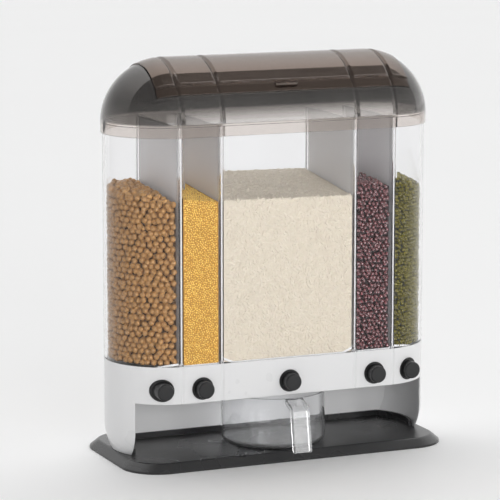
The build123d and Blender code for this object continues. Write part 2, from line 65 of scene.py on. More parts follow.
def make_moulded_skin():
    """A group for moulded plastic: etched grain, softened edges, slow changes of tone and gloss."""
    group = bpy.data.node_groups.new("moulded_skin", "ShaderNodeTree")
    sockets = group.interface
    for name in ("Tone", "Second Tone"):
        sockets.new_socket(name, in_out="INPUT", socket_type="NodeSocketColor")
    for name in ("Least Roughness", "Most Roughness", "Drift Scale"):
        sockets.new_socket(name, in_out="INPUT", socket_type="NodeSocketFloat")
    for name in ("Grain Scale", "Grain Height", "Edge Round"):
        sockets.new_socket(name, in_out="INPUT", socket_type="NodeSocketFloat")
    sockets.new_socket("Base Color", in_out="OUTPUT", socket_type="NodeSocketColor")
    sockets.new_socket("Roughness", in_out="OUTPUT", socket_type="NodeSocketFloat")
    sockets.new_socket("Normal", in_out="OUTPUT", socket_type="NodeSocketVector")
    nodes = group.nodes
    links = group.links
    given = nodes.new("NodeGroupInput")
    result = nodes.new("NodeGroupOutput")
    place = nodes.new("ShaderNodeTexCoord")

    drift = nodes.new("ShaderNodeTexNoise")
    drift.inputs["Detail"].default_value = 3.0
    links.new(place.outputs["Object"], drift.inputs["Vector"])
    links.new(given.outputs["Drift Scale"], drift.inputs["Scale"])
    gloss = nodes.new("ShaderNodeMapRange")
    gloss.inputs["From Min"].default_value = 0.3
    gloss.inputs["From Max"].default_value = 0.7
    links.new(drift.outputs["Fac"], gloss.inputs["Value"])
    links.new(given.outputs["Least Roughness"], gloss.inputs["To Min"])
    links.new(given.outputs["Most Roughness"], gloss.inputs["To Max"])
    links.new(gloss.outputs["Result"], result.inputs["Roughness"])
    tone = nodes.new("ShaderNodeMix")
    tone.data_type = "RGBA"
    links.new(drift.outputs["Fac"], tone.inputs["Factor"])
    links.new(given.outputs["Tone"], tone.inputs["A"])
    links.new(given.outputs["Second Tone"], tone.inputs["B"])
    links.new(tone.outputs["Result"], result.inputs["Base Color"])

    etching = nodes.new("ShaderNodeTexNoise")
    etching.inputs["Detail"].default_value = 2.0
    links.new(place.outputs["Object"], etching.inputs["Vector"])
    links.new(given.outputs["Grain Scale"], etching.inputs["Scale"])
    edge = nodes.new("ShaderNodeBevel")
    links.new(given.outputs["Edge Round"], edge.inputs["Radius"])
    bump = nodes.new("ShaderNodeBump")
    bump.inputs["Distance"].default_value = 0.0002
    links.new(given.outputs["Grain Height"], bump.inputs["Strength"])
    links.new(etching.outputs["Fac"], bump.inputs["Height"])
    links.new(edge.outputs["Normal"], bump.inputs["Normal"])
    links.new(bump.outputs["Normal"], result.inputs["Normal"])
    return group


moulded_skin = make_moulded_skin()


def add_skin(nodes, links, shader, group, values):
    """Places a group in a material and feeds the shader's inputs of the same names."""
    skin = nodes.new("ShaderNodeGroup")
    skin.node_tree = group
    for name, value in values.items():
        skin.inputs[name].default_value = value
    for output in skin.outputs:
        links.new(output, shader.inputs[output.name])


weld_distance = 0.000002
sharp_angle = radians(14.0)


def make_smooth_walls():
    """A modifier that joins a node's loose triangles and shades round walls smoothly."""
    group = bpy.data.node_groups.new("smooth_walls", "GeometryNodeTree")
    group.interface.new_socket("Walls", in_out="INPUT", socket_type="NodeSocketGeometry")
    group.interface.new_socket("Walls", in_out="OUTPUT", socket_type="NodeSocketGeometry")
    nodes = group.nodes
    links = group.links
    given = nodes.new("NodeGroupInput")
    result = nodes.new("NodeGroupOutput")
    merge = nodes.new("GeometryNodeMergeByDistance")
    merge.inputs["Distance"].default_value = weld_distance
    faces = nodes.new("GeometryNodeSetShadeSmooth")
    faces.domain = "FACE"
    faces.inputs["Shade Smooth"].default_value = True
    edges = nodes.new("GeometryNodeSetShadeSmooth")
    edges.domain = "EDGE"
    edges.inputs["Shade Smooth"].default_value = False
    angle = nodes.new("GeometryNodeInputMeshEdgeAngle")
    sharp = nodes.new("FunctionNodeCompare")
    sharp.operation = "GREATER_THAN"
    sharp.inputs["B"].default_value = sharp_angle
    links.new(given.outputs["Walls"], merge.inputs["Geometry"])
    links.new(merge.outputs["Geometry"], faces.inputs["Geometry"])
    links.new(faces.outputs["Geometry"], edges.inputs["Geometry"])
    links.new(angle.outputs["Unsigned Angle"], sharp.inputs["A"])
    links.new(sharp.outputs["Result"], edges.inputs["Selection"])
    links.new(edges.outputs["Geometry"], result.inputs["Walls"])
    return group


smooth_walls = make_smooth_walls()


def dress(names, material):
    """Gives CAD nodes a finish and smooth round walls."""
    for name in names:
        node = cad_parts[name]
        node.data.materials.clear()
        node.data.materials.append(material)
        smooth = node.modifiers.new("smooth_walls", "NODES")
        smooth.node_group = smooth_walls


tray_finish, nodes, links, shader = new_material("charcoal_tray")
add_skin(nodes, links, shader, moulded_skin, {
    "Tone": (0.021, 0.021, 0.022, 1.0),
    "Second Tone": (0.029, 0.029, 0.030, 1.0),
    "Least Roughness": 0.24,
    "Most Roughness": 0.33,
    "Drift Scale": 18.0,
    "Grain Scale": 1600.0,
    "Grain Height": 0.35,
    "Edge Round": 0.0008,
})
dress(["base_tray"], tray_finish)


# Base housing: the white lower shell with the niche for the cup, and the five funnels inside it.
# All are moulded in white plastic with a soft gloss; the funnels stand on the housing's deck.
housing_finish, nodes, links, shader = new_material("white_housing")
add_skin(nodes, links, shader, moulded_skin, {
    "Tone": (0.80, 0.80, 0.805, 1.0),
    "Second Tone": (0.84, 0.84, 0.845, 1.0),
    "Least Roughness": 0.26,
    "Most Roughness": 0.34,
    "Drift Scale": 9.0,
    "Grain Scale": 900.0,
    "Grain Height": 0.06,
    "Edge Round": 0.0007,
})
bays = range(1, 6)
dress(["base_housing"] + [f"funnel_{bay}" for bay in bays], housing_finish)


# Gates, springs and screws: the hidden works behind the buttons and under the deck.
# The gates are grey-white sliding plates, and the wire, screws and pins are plain bright steel.
# Each spring is held at its rear end, and in the dispenser it shortens by its button's stroke; here each
# is one welded, smoothly shaded coil carried by the base.
gate_finish, nodes, links, shader = new_material("gate_plastic")
add_skin(nodes, links, shader, moulded_skin, {
    "Tone": (0.62, 0.62, 0.63, 1.0),
    "Second Tone": (0.66, 0.66, 0.67, 1.0),
    "Least Roughness": 0.40,
    "Most Roughness": 0.50,
    "Drift Scale": 30.0,
    "Grain Scale": 1200.0,
    "Grain Height": 0.2,
    "Edge Round": 0.0004,
})
dress([f"gate_{bay}" for bay in bays], gate_finish)

steel_finish, nodes, links, shader = new_material("drawn_steel")
add_skin(nodes, links, shader, moulded_skin, {
    "Tone": (0.52, 0.52, 0.53, 1.0),
    "Second Tone": (0.64, 0.64, 0.65, 1.0),
    "Least Roughness": 0.22,
    "Most Roughness": 0.36,
    "Drift Scale": 260.0,
    "Grain Scale": 2600.0,
    "Grain Height": 0.25,
    "Edge Round": 0.0002,
})
shader.inputs["Metallic"].default_value = 1.0
springs = [f"return_spring_{bay}" for bay in bays]
dress(springs + ["funnel_screws", "tray_screws", "hinge_pins"], steel_finish)


def edit_all(obj):
    """Opens one piece in edit mode with all of it selected."""
    bpy.ops.object.select_all(action="DESELECT")
    obj.select_set(True)
    bpy.context.view_layer.objects.active = obj
    bpy.ops.object.mode_set(mode="EDIT")
    bpy.ops.mesh.select_all(action="SELECT")


for place, spring in zip(bays, springs):
    coil = bpy.data.objects.new(f"spring_coil_{place}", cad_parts[spring].data.copy())
    bpy.context.collection.objects.link(coil)
    edit_all(coil)
    bpy.ops.mesh.remove_doubles(threshold=weld_distance)
    bpy.ops.object.mode_set(mode="OBJECT")
    bpy.ops.object.shade_smooth()
    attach(coil, "base")
    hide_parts(spring)
    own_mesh(coil)


# Buttons and sleeves: a round push button in a collar for each bay, in a row along the housing's front.
# Both are moulded in near-black plastic; the cap's face is satin and the collar is a little duller.
button_finish, nodes, links, shader = new_material("black_button")
add_skin(nodes, links, shader, moulded_skin, {
    "Tone": (0.011, 0.011, 0.012, 1.0),
    "Second Tone": (0.017, 0.017, 0.018, 1.0),
    "Least Roughness": 0.28,
    "Most Roughness": 0.38,
    "Drift Scale": 60.0,
    "Grain Scale": 2200.0,
    "Grain Height": 0.15,
    "Edge Round": 0.0005,
})
dress([f"button_{bay}" for bay in bays], button_finish)

sleeve_finish, nodes, links, shader = new_material("black_sleeve")
add_skin(nodes, links, shader, moulded_skin, {
    "Tone": (0.012, 0.012, 0.013, 1.0),
    "Second Tone": (0.018, 0.018, 0.019, 1.0),
    "Least Roughness": 0.40,
    "Most Roughness": 0.52,
    "Drift Scale": 60.0,
    "Grain Scale": 2200.0,
    "Grain Height": 0.3,
    "Edge Round": 0.0004,
})
dress([f"button_sleeve_{bay}" for bay in bays], sleeve_finish)


# Tank: one tall clear wall, moulded in water-white plastic, that drops into the housing's lapped edge.
# Its faces are polished and very slightly wavy, as a thin clear moulding is.
def let_light_through(nodes, links, shader, tint):
    """Lets light past a clear wall to what stands behind it, instead of a black shadow."""
    path = nodes.new("ShaderNodeLightPath")
    clear = nodes.new("ShaderNodeBsdfTransparent")
    clear.inputs["Color"].default_value = tint
    either = nodes.new("ShaderNodeMixShader")
    links.new(path.outputs["Is Shadow Ray"], either.inputs["Fac"])
    links.new(shader.outputs["BSDF"], either.inputs[1])
    links.new(clear.outputs["BSDF"], either.inputs[2])
    links.new(either.outputs["Shader"], nodes["Material Output"].inputs["Surface"])


def make_clear_ripple():
    """A group for clear mouldings: the slow ripple of a polished face, and softened edges."""
    group = bpy.data.node_groups.new("clear_ripple", "ShaderNodeTree")
    sockets = group.interface
    for name in ("Ripple Scale", "Ripple Height", "Edge Round"):
        sockets.new_socket(name, in_out="INPUT", socket_type="NodeSocketFloat")
    sockets.new_socket("Normal", in_out="OUTPUT", socket_type="NodeSocketVector")
    nodes = group.nodes
    links = group.links
    given = nodes.new("NodeGroupInput")
    result = nodes.new("NodeGroupOutput")
    place = nodes.new("ShaderNodeTexCoord")
    flow = nodes.new("ShaderNodeTexNoise")
    flow.inputs["Detail"].default_value = 1.0
    links.new(place.outputs["Object"], flow.inputs["Vector"])
    links.new(given.outputs["Ripple Scale"], flow.inputs["Scale"])
    edge = nodes.new("ShaderNodeBevel")
    links.new(given.outputs["Edge Round"], edge.inputs["Radius"])
    ripple = nodes.new("ShaderNodeBump")
    ripple.inputs["Distance"].default_value = 0.001
    links.new(given.outputs["Ripple Height"], ripple.inputs["Strength"])
    links.new(flow.outputs["Fac"], ripple.inputs["Height"])
    links.new(edge.outputs["Normal"], ripple.inputs["Normal"])
    links.new(ripple.outputs["Normal"], result.inputs["Normal"])
    return group


clear_ripple = make_clear_ripple()


tank_finish, nodes, links, shader = new_material("clear_tank")
shader.inputs["Base Color"].default_value = (0.985, 0.985, 0.99, 1.0)
shader.inputs["Transmission Weight"].default_value = 1.0
shader.inputs["Roughness"].default_value = 0.012
shader.inputs["IOR"].default_value = 1.30
add_skin(nodes, links, shader, clear_ripple, {
    "Ripple Scale": 11.0,
    "Ripple Height": 0.06,
    "Edge Round": 0.0003,
})
let_light_through(nodes, links, shader, (0.985, 0.985, 0.987, 1.0))
dress(["tank_shell"], tank_finish)


# Dividers: four grey panels that slide down channels inside the tank and split it into five bays.
# They are moulded in grey plastic with a frosted face.
divider_finish, nodes, links, shader = new_material("frosted_divider")
add_skin(nodes, links, shader, moulded_skin, {
    "Tone": (0.76, 0.75, 0.755, 1.0),
    "Second Tone": (0.82, 0.81, 0.815, 1.0),
    "Least Roughness": 0.42,
    "Most Roughness": 0.55,
    "Drift Scale": 14.0,
    "Grain Scale": 1400.0,
    "Grain Height": 0.25,
    "Edge Round": 0.0004,
})
dividers = [f"divider_{place}" for place in range(1, 5)]
dress(dividers, divider_finish)


# Grain: soybeans, millet, rice, red beans and green beans, poured into the bays from left to right.
# Each heap is a core under separate grains, which lie against the tank's wall; the bean and millet cores
# are painted dark as the shade in the gaps between grains, and the rice core is in the rice's own
# colour.
# It ends in a flat foot at the housing's upper edge.
smallest_grain = 0.90
largest_grain = 1.05


def make_poured_grain():
    """A modifier that lays separate grains over the shown faces of a heap, and in given rows."""
    group = bpy.data.node_groups.new("poured_grain", "GeometryNodeTree")
    sockets = group.interface
    sockets.new_socket("Heap", in_out="INPUT", socket_type="NodeSocketGeometry")
    sockets.new_socket("Grain", in_out="INPUT", socket_type="NodeSocketObject")
    sockets.new_socket("Rows", in_out="INPUT", socket_type="NodeSocketObject")
    for name in ("Spacing", "Crowd", "Lowest", "Highest"):
        sockets.new_socket(name, in_out="INPUT", socket_type="NodeSocketFloat")
    sockets.new_socket("Turn", in_out="INPUT", socket_type="NodeSocketVector")
    sockets.new_socket("Draw", in_out="INPUT", socket_type="NodeSocketInt")
    sockets.new_socket("Heap", in_out="OUTPUT", socket_type="NodeSocketGeometry")
    nodes = group.nodes
    links = group.links
    given = nodes.new("NodeGroupInput")
    result = nodes.new("NodeGroupOutput")

    shown = nodes.new("GeometryNodeInputNamedAttribute")
    shown.data_type = "BOOLEAN"
    shown.inputs["Name"].default_value = "shown"
    spread = nodes.new("GeometryNodeDistributePointsOnFaces")
    spread.distribute_method = "POISSON"
    links.new(given.outputs["Heap"], spread.inputs["Mesh"])
    links.new(shown.outputs["Attribute"], spread.inputs["Selection"])
    links.new(given.outputs["Spacing"], spread.inputs["Distance Min"])
    links.new(given.outputs["Crowd"], spread.inputs["Density Max"])
    links.new(given.outputs["Draw"], spread.inputs["Seed"])

    depth = nodes.new("FunctionNodeRandomValue")
    depth.data_type = "FLOAT"
    depth.inputs["Seed"].default_value = 11
    links.new(given.outputs["Lowest"], depth.inputs[2])
    links.new(given.outputs["Highest"], depth.inputs[3])
    inward = nodes.new("ShaderNodeVectorMath")
    inward.operation = "SCALE"
    links.new(spread.outputs["Normal"], inward.inputs["Vector"])
    links.new(depth.outputs[1], inward.inputs["Scale"])
    settle = nodes.new("GeometryNodeSetPosition")
    links.new(spread.outputs["Points"], settle.inputs["Geometry"])
    links.new(inward.outputs["Vector"], settle.inputs["Offset"])
    rows = nodes.new("GeometryNodeObjectInfo")
    links.new(given.outputs["Rows"], rows.inputs["Object"])
    row_points = nodes.new("GeometryNodeMeshToPoints")
    links.new(rows.outputs["Geometry"], row_points.inputs["Mesh"])
    places = nodes.new("GeometryNodeJoinGeometry")
    links.new(settle.outputs["Geometry"], places.inputs["Geometry"])
    links.new(row_points.outputs["Points"], places.inputs["Geometry"])

    back = nodes.new("ShaderNodeVectorMath")
    back.operation = "SCALE"
    back.inputs["Scale"].default_value = -1.0
    links.new(given.outputs["Turn"], back.inputs["Vector"])
    lean = nodes.new("FunctionNodeRandomValue")
    lean.data_type = "FLOAT_VECTOR"
    lean.inputs["Seed"].default_value = 23
    links.new(back.outputs["Vector"], lean.inputs[0])
    links.new(given.outputs["Turn"], lean.inputs[1])
    turned = nodes.new("FunctionNodeEulerToRotation")
    links.new(lean.outputs[0], turned.inputs["Euler"])
    lie = nodes.new("FunctionNodeRotateRotation")
    lie.rotation_space = "LOCAL"
    links.new(spread.outputs["Rotation"], lie.inputs["Rotation"])
    links.new(turned.outputs["Rotation"], lie.inputs["Rotate By"])
    size = nodes.new("FunctionNodeRandomValue")
    size.data_type = "FLOAT"
    size.inputs[2].default_value = smallest_grain
    size.inputs[3].default_value = largest_grain
    size.inputs["Seed"].default_value = 31

    model = nodes.new("GeometryNodeObjectInfo")
    links.new(given.outputs["Grain"], model.inputs["Object"])
    lay = nodes.new("GeometryNodeInstanceOnPoints")
    clean = nodes.new("GeometryNodeRemoveAttribute")
    clean.inputs["Name"].default_value = "shown"
    links.new(places.outputs["Geometry"], clean.inputs["Geometry"])
    links.new(clean.outputs["Geometry"], lay.inputs["Points"])
    links.new(model.outputs["Geometry"], lay.inputs["Instance"])
    links.new(lie.outputs["Rotation"], lay.inputs["Rotation"])
    links.new(size.outputs[1], lay.inputs["Scale"])
    shade = nodes.new("FunctionNodeRandomValue")
    shade.data_type = "FLOAT"
    shade.inputs["Seed"].default_value = 43
    keep = nodes.new("GeometryNodeStoreNamedAttribute")
    keep.data_type = "FLOAT"
    keep.domain = "INSTANCE"
    keep.inputs["Name"].default_value = "shade"
    links.new(lay.outputs["Instances"], keep.inputs["Geometry"])
    links.new(shade.outputs[1], keep.inputs["Value"])
    real = nodes.new("GeometryNodeRealizeInstances")
    links.new(keep.outputs["Geometry"], real.inputs["Geometry"])
    both = nodes.new("GeometryNodeJoinGeometry")
    links.new(real.outputs["Geometry"], both.inputs["Geometry"])
    links.new(given.outputs["Heap"], both.inputs["Geometry"])
    links.new(both.outputs["Geometry"], result.inputs["Heap"])
    return group


poured_grain = make_poured_grain()


own_shade = 0.8
blotch_shade = 0.35


def make_grain_skin():
    """A group for seeds: each grain has its own shade, with faint blotches and a dry gloss."""
    group = bpy.data.node_groups.new("grain_skin", "ShaderNodeTree")
    sockets = group.interface
    for name in ("Dark", "Pale"):
        sockets.new_socket(name, in_out="INPUT", socket_type="NodeSocketColor")
    for name in ("Least Roughness", "Most Roughness", "Blotch Scale"):
        sockets.new_socket(name, in_out="INPUT", socket_type="NodeSocketFloat")
    sockets.new_socket("Base Color", in_out="OUTPUT", socket_type="NodeSocketColor")
    sockets.new_socket("Roughness", in_out="OUTPUT", socket_type="NodeSocketFloat")
    nodes = group.nodes
    links = group.links
    given = nodes.new("NodeGroupInput")
    result = nodes.new("NodeGroupOutput")

    own = nodes.new("ShaderNodeAttribute")
    own.attribute_name = "shade"
    place = nodes.new("ShaderNodeTexCoord")
    blotch = nodes.new("ShaderNodeTexNoise")
    links.new(place.outputs["Object"], blotch.inputs["Vector"])
    links.new(given.outputs["Blotch Scale"], blotch.inputs["Scale"])
    fade = nodes.new("ShaderNodeMath")
    fade.operation = "MULTIPLY"
    fade.inputs[1].default_value = own_shade
    links.new(own.outputs["Fac"], fade.inputs[0])
    blend = nodes.new("ShaderNodeMath")
    blend.operation = "MULTIPLY_ADD"
    blend.inputs[1].default_value = blotch_shade
    links.new(blotch.outputs["Fac"], blend.inputs[0])
    links.new(fade.outputs["Value"], blend.inputs[2])
    tone = nodes.new("ShaderNodeMix")
    tone.data_type = "RGBA"
    links.new(blend.outputs["Value"], tone.inputs["Factor"])
    links.new(given.outputs["Dark"], tone.inputs["A"])
    links.new(given.outputs["Pale"], tone.inputs["B"])
    links.new(tone.outputs["Result"], result.inputs["Base Color"])
    gloss = nodes.new("ShaderNodeMapRange")
    links.new(blotch.outputs["Fac"], gloss.inputs["Value"])
    links.new(given.outputs["Least Roughness"], gloss.inputs["To Min"])
    links.new(given.outputs["Most Roughness"], gloss.inputs["To Max"])
    links.new(gloss.outputs["Result"], result.inputs["Roughness"])
    return group


grain_skin = make_grain_skin()


def grain_finish(name, dark, pale, roughness, blotch_scale, polish=0.0, shine=0.5):
    """A seed's skin between two shades; polish gives it a glossy coat, and shine is its own gloss."""
    material, nodes, links, shader = new_material(name)
    add_skin(nodes, links, shader, grain_skin, {
        "Dark": dark,
        "Pale": pale,
        "Least Roughness": roughness - 0.08,
        "Most Roughness": roughness + 0.12,
        "Blotch Scale": blotch_scale,
    })
    shader.inputs["Specular IOR Level"].default_value = shine
    shader.inputs["Coat Weight"].default_value = polish
    shader.inputs["Coat Roughness"].default_value = 0.14
    shader.inputs["Coat IOR"].default_value = 2.0
    return material


nip_start = 0.3


def make_seed(name, faces, size, nip, material):
    """One seed: a ball drawn to its three sizes, with one end nipped in."""
    bpy.ops.mesh.primitive_uv_sphere_add(segments=faces[0], ring_count=faces[1], radius=0.5)
    seed = bpy.context.object
    seed.name = name
    edit_all(seed)
    bpy.ops.transform.resize(value=size)
    bpy.ops.mesh.select_all(action="DESELECT")
    bpy.ops.object.mode_set(mode="OBJECT")
    for vertex in seed.data.vertices:
        vertex.select = vertex.co.z > nip_start * size[2]
    bpy.ops.object.mode_set(mode="EDIT")
    bpy.ops.transform.resize(value=(nip, nip, (1.0 + nip) / 2))
    bpy.ops.object.mode_set(mode="OBJECT")
    bpy.ops.object.shade_smooth()
    seed.data.materials.append(material)
    return seed


def slope_heap(heap, plane):
    """Cuts a heap's top along a slope: a height at one X, and its rise along X and Y."""
    height, start_x, rise_x, rise_y = plane
    edit_all(heap)
    bpy.ops.mesh.bisect(
        plane_co=(start_x, 0.0, height),
        plane_no=Vector((-rise_x, -rise_y, 1.0)).normalized(),
        use_fill=True,
        clear_outer=True,
    )
    bpy.ops.object.mode_set(mode="OBJECT")


uncut_height = 0.2


def middle_heap(side_walls, y_range, bottom, plane):
    """The core of a heap between two dividers."""
    top = bottom + uncut_height
    x_range = [wall for wall, inward in side_walls]
    bpy.ops.mesh.primitive_cube_add(size=1.0)
    heap = bpy.context.object
    heap.scale = (x_range[1] - x_range[0], y_range[1] - y_range[0], top - bottom)
    heap.location = (sum(x_range) / 2, sum(y_range) / 2, (top + bottom) / 2)
    bpy.ops.object.transform_apply(location=True, rotation=True, scale=True)
    slope_heap(heap, plane)
    return heap


def end_heap(centre_x, divider_x, radius, bottom, plane):
    """The core of a heap in a round end of the tank, cut off flat beside its divider."""
    side = 1.0 if centre_x < 0.0 else -1.0
    top = bottom + uncut_height
    bpy.ops.mesh.primitive_cylinder_add(
        vertices=72, radius=radius, depth=top - bottom, location=(centre_x, 0.0, (top + bottom) / 2)
    )
    heap = bpy.context.object
    bpy.ops.object.transform_apply(location=True, rotation=True, scale=True)
    edit_all(heap)
    bpy.ops.mesh.bisect(
        plane_co=(divider_x, 0.0, bottom), plane_no=(side, 0.0, 0.0), use_fill=True, clear_outer=True
    )
    bpy.ops.object.mode_set(mode="OBJECT")
    slope_heap(heap, plane)
    return heap


facing = 0.5
seam_room = 0.0002


def mark_shown(heap, side_walls, margin):
    """Marks the faces that grains lie on, which stop a margin short of the side walls."""
    for wall, inward in side_walls:
        edit_all(heap)
        bpy.ops.mesh.bisect(plane_co=(wall + inward * margin, 0.0, 0.0), plane_no=(1.0, 0.0, 0.0))
        bpy.ops.object.mode_set(mode="OBJECT")
    shown = heap.data.attributes.new("shown", "BOOLEAN", "FACE")
    for face in heap.data.polygons:
        beside = any((face.center.x - wall) * inward < margin for wall, inward in side_walls)
        on_seam = abs(face.center.y) < seam_room and abs(face.normal.y) > facing
        is_foot = face.normal.z < -facing
        shown.data[face.index].value = not (beside or on_seam or is_foot)


first_draw = 7
crowding = 30.0


def pour(name, heap, seed, layers, turn, core_finish, rows=None):
    """Covers a heap's shown faces with layers of grains and rides it on the base.

    Where rows are given, the last layer lies in them along the walls, and loose only on the top.
    """
    heap.name = name
    # For the beans and millet the core's finish is painted shade, dark as the gaps between grains; for
    # rice it is the rice's own colour.
    heap.data.materials.append(core_finish)
    for step, (spacing, lowest, highest) in enumerate(layers):
        in_rows = rows if step == len(layers) - 1 else None
        shown = heap.data.attributes["shown"].data
        for face in heap.data.polygons:
            if in_rows and face.normal.z < facing:
                shown[face.index].value = False
        cover = heap.modifiers.new("poured_grain", "NODES")
        cover.node_group = poured_grain
        values = {
            "Grain": seed,
            "Rows": in_rows,
            "Spacing": spacing,
            "Crowd": crowding / spacing ** 2,
            "Turn": turn,
            "Lowest": lowest,
            "Highest": highest,
            "Draw": first_draw + step,
        }
        for socket in poured_grain.interface.items_tree:
            if socket.in_out == "INPUT" and values.get(socket.name) is not None:
                cover[socket.identifier] = values[socket.name]
        bpy.ops.object.select_all(action="DESELECT")
        heap.select_set(True)
        bpy.context.view_layer.objects.active = heap
        bpy.ops.object.modifier_apply(modifier=cover.name)
    heap.data.attributes.remove(heap.data.attributes["shown"])
    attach(heap, "base")


def sunk_beans(size):
    """A layer of beans sunk in the core: their spacing, and the range of their heights over it."""
    return size * 0.80, -0.20 * size, -0.05 * size


def loose_beans(size):
    """A layer of beans that stand out from the core, as far as the tank's wall."""
    return size * 0.80, 0.22 * size, 0.36 * size


row_draw = 17
most_rows = 60
row_rise = 0.87
rim_room = 0.3
loose_slip = 0.38


def stack_rows(name, walls, plane, pitch, stray):
    """Places for beans in staggered rows up the walls of a heap, each a little out of line."""
    height, start_x, rise_x, rise_y = plane
    draw = Random(row_draw)
    places = []
    lowest = heap_bottom + pitch / 2
    for row in range(most_rows):
        row_z = lowest + row_rise * row * pitch
        for wall in walls:
            for step in range(row % 2, len(wall), 2):
                spot = min(max(step + draw.uniform(-loose_slip, loose_slip), 0.0), len(wall) - 1.0)
                before = min(int(spot), len(wall) - 2)
                x, y = Vector(wall[before]).lerp(Vector(wall[before + 1]), spot - before)
                z = max(lowest, row_z + draw.uniform(-loose_slip, loose_slip) * pitch / 2)
                top = height + rise_x * (x - start_x) + rise_y * y
                if z < top + rim_room * pitch:
                    places.append([middle + draw.uniform(-stray, stray) for middle in (x, y, z)])
    mesh = bpy.data.meshes.new(name)
    mesh.from_pydata(places, [], [])
    rows = bpy.data.objects.new(name, mesh)
    bpy.context.collection.objects.link(rows)
    return rows


def round_wall(centre_x, start_x, radius, pitch):
    """Places half a pitch apart round an end of the tank, from one side of a divider to the other."""
    side = 1.0 if centre_x > 0.0 else -1.0
    spread = acos((start_x - centre_x) * side / radius)
    steps = 2 * round(2.0 * spread * radius / pitch)
    angles = [spread * (2.0 * step / steps - 1.0) for step in range(steps + 1)]
    return [(centre_x + side * radius * cos(angle), radius * sin(angle)) for angle in angles]


def straight_wall(x_range, y, pitch):
    """Places half a pitch apart along the flat front or back of the tank."""
    steps = 2 * round((x_range[1] - x_range[0]) / pitch)
    step_x = (x_range[1] - x_range[0]) / steps
    return [(x_range[0] + step_x * step, y) for step in range(steps + 1)]


tank_low, tank_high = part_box("tank_shell")
tank_wall = 0.0028
channel_room = 0.0017
end_radius = (tank_high.y - tank_low.y) / 2
end_centre = tank_high.x - end_radius
inner_reach = end_radius - tank_wall
bend_room = 0.0006
heap_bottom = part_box("base_housing")[1].z + 0.0004
any_turn = (pi, pi, pi)
bean_inset = 0.95
bean_margin = 0.46
row_inset = 0.58
panels = [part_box(divider) for divider in dividers]


def bay_sides(left, right):
    """The sides of a heap between two dividers, each with its inward direction."""
    return [(panels[left][1].x + channel_room, 1.0), (panels[right][0].x - channel_room, -1.0)]


soy_size = 0.0068
soy_pitch = soy_size * 0.95
soy_margin = soy_size * bean_margin
soy_finish = grain_finish(
    "soybean_skin",
    dark=(0.33, 0.165, 0.054, 1.0),
    pale=(0.55, 0.305, 0.110, 1.0),
    roughness=0.30,
    blotch_scale=500.0,
)
# Painted shade: the soybean core is a dark brown that stands for the shade in the gaps between beans.
soy_gap_shade = grain_finish(
    "soybean_gap_shade",
    dark=(0.075, 0.036, 0.012, 1.0),
    pale=(0.095, 0.046, 0.016, 1.0),
    roughness=0.7,
    blotch_scale=300.0,
)
soy_form = (soy_size, soy_size * 0.95, soy_size * 1.03)
soybean = make_seed("soybean", faces=(8, 6), size=soy_form, nip=0.96, material=soy_finish)
soy_wall = panels[0][0].x - channel_room
soy_top = (0.2668, -0.118, -0.11, 0.075)
heap = end_heap(-end_centre, soy_wall, inner_reach - soy_size * bean_inset, heap_bottom, soy_top)
mark_shown(heap, [(soy_wall, -1.0)], soy_margin)
row_radius = inner_reach - soy_size * row_inset
walls = [round_wall(-end_centre, soy_wall - soy_margin, row_radius, soy_pitch)]
soy_rows = stack_rows("soybean_rows", walls, soy_top, soy_pitch, stray=soy_size * 0.06)
soy_layers = [sunk_beans(soy_size), loose_beans(soy_size)]
pour("soybean_heap", heap, soybean, soy_layers, any_turn, soy_gap_shade, soy_rows)

millet_size = 0.0019
millet_finish = grain_finish(
    "millet_skin",
    dark=(0.80, 0.44, 0.060, 1.0),
    pale=(1.0, 0.75, 0.185, 1.0),
    roughness=0.45,
    blotch_scale=900.0,
)
# Painted shade: the millet core is a darker orange that stands for the shade in the gaps between grains.
millet_gap_shade = grain_finish(
    "millet_gap_shade",
    dark=(0.48, 0.24, 0.033, 1.0),
    pale=(0.58, 0.30, 0.044, 1.0),
    roughness=0.8,
    blotch_scale=700.0,
)
bpy.ops.mesh.primitive_ico_sphere_add(subdivisions=1, radius=0.5)
millet = bpy.context.object
millet.name = "millet"
edit_all(millet)
bpy.ops.transform.resize(value=(millet_size, millet_size * 0.94, millet_size * 1.04))
bpy.ops.object.mode_set(mode="OBJECT")
bpy.ops.object.shade_smooth()
millet.data.materials.append(millet_finish)
sides = bay_sides(0, 1)
reach = inner_reach - millet_size * 0.6 - bend_room
millet_top = (0.2700, -0.094, -0.12, 0.085)
heap = middle_heap(sides, (-reach, reach), heap_bottom, millet_top)
mark_shown(heap, sides, millet_size * 0.5)
millet_layer = (millet_size * 0.92, -0.3 * millet_size, 0.0)
pour("millet_heap", heap, millet, [millet_layer], any_turn, millet_gap_shade)

rice_length = 0.0062
rice_finish = grain_finish(
    "rice_skin",
    dark=(0.63, 0.56, 0.45, 1.0),
    pale=(0.72, 0.655, 0.55, 1.0),
    roughness=0.40,
    blotch_scale=420.0,
)
rice_core = grain_finish(
    "rice_core",
    dark=(0.67, 0.60, 0.49, 1.0),
    pale=(0.71, 0.64, 0.53, 1.0),
    roughness=0.6,
    blotch_scale=300.0,
)
rice_form = (rice_length * 0.36, rice_length * 0.40, rice_length)
rice = make_seed("rice", faces=(6, 5), size=rice_form, nip=0.9, material=rice_finish)
edit_all(rice)
bpy.ops.transform.rotate(value=pi / 2, orient_axis="Y", center_override=(0.0, 0.0, 0.0))
bpy.ops.object.mode_set(mode="OBJECT")
sides = bay_sides(1, 2)
reach = inner_reach - rice_length * 0.26
rice_top = (0.2690, 0.0, -0.02, 0.116)
rice_layer = (rice_length * 0.42, -0.13 * rice_length, -0.02 * rice_length)
flat_turn = (radians(14.0), radians(10.0), pi)
for name, depth_range in (("rice_heap_front", (-reach, 0.0)), ("rice_heap_back", (0.0, reach))):
    heap = middle_heap(sides, depth_range, heap_bottom, rice_top)
    mark_shown(heap, sides, rice_length * 0.3)
    pour(name, heap, rice, [rice_layer], flat_turn, rice_core)

